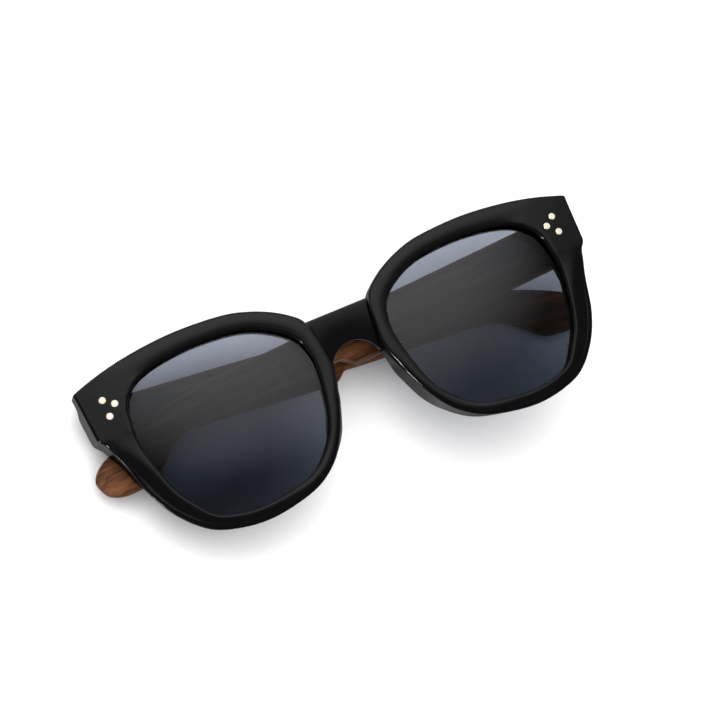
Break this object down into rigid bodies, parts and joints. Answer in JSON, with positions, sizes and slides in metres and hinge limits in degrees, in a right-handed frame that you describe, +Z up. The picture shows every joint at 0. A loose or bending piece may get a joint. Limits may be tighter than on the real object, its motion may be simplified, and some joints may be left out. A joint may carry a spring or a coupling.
{
  "type": "sunglasses",
  "caption": "Folded sunglasses with a black acetate front, smoke lenses, riveted end pieces and stepped walnut temples on sprung hinges.",
  "frame": {"origin": "middle of the bounding box, on the table under the folded glasses", "axes": "+X towards the wearer's left along the temple that lies on the table, +Y up the face, +Z up, out of the face of the lenses"},
  "size_m": [0.1502, 0.0553, 0.0298],
  "materials": {
    "black_acetate": "polished acetate",
    "smoke_lens": "smoke-tinted sun lens",
    "walnut": "oiled walnut, grain along the temple",
    "rivet_metal": "polished flat heads",
    "hinge_steel": "nickel silver, satin",
    "case_metal": "black nickel plate",
    "spring_steel": "drawn wire"
  },
  "bodies": {
    "right_temple": {"right_temple": "walnut", "right_spring_case": "case_metal", "right_case_screws": "hinge_steel", "right_spring": "spring_steel"},
    "right_slider": {"right_hinge_slider": "hinge_steel", "right_spring_stop": "hinge_steel"},
    "front": {"front_frame": "black_acetate", "left_lens": "smoke_lens", "right_lens": "smoke_lens", "left_nose_pad": "black_acetate", "right_nose_pad": "black_acetate", "left_rivets": "rivet_metal", "right_rivets": "rivet_metal", "left_front_hinge": "hinge_steel", "right_front_hinge": "hinge_steel", "left_hinge_screw": "hinge_steel", "right_hinge_screw": "hinge_steel"},
    "left_slider": {"left_hinge_slider": "hinge_steel", "left_spring_stop": "hinge_steel"},
    "left_temple": {"left_temple": "walnut", "left_spring_case": "case_metal", "left_case_screws": "hinge_steel", "left_spring": "spring_steel"}
  },
  "joints": [
    {"name": "right_spring_slide", "type": "slide", "parent": "right_temple", "child": "right_slider", "axis": [-1, 0, 0], "range_m": [0, 0.001], "stiffness_N_per_m": 1500, "springref_m": -0.001, "deforming": ["right_spring"]},
    {"name": "right_temple_fold", "type": "hinge", "parent": "right_slider", "child": "front", "pos_m": [-0.06636, 0.01515, 0.006], "axis": [0, -1, 0], "range_deg": [0, 83]},
    {"name": "left_temple_fold", "type": "hinge", "parent": "front", "child": "left_slider", "pos_m": [0.06545, 0.01515, 0.02218], "axis": [0, -1, 0], "range_deg": [0, 91.6]},
    {"name": "left_spring_slide", "type": "slide", "parent": "left_slider", "child": "left_temple", "axis": [-0.9956, 0, -0.0941], "range_m": [0, 0.001], "stiffness_N_per_m": 1500, "springref_m": -0.001, "deforming": ["left_spring"]}
  ],
  "couplings": [
    {"joint": "left_temple_fold", "follows": "right_temple_fold", "ratio": 0.02}
  ]
}
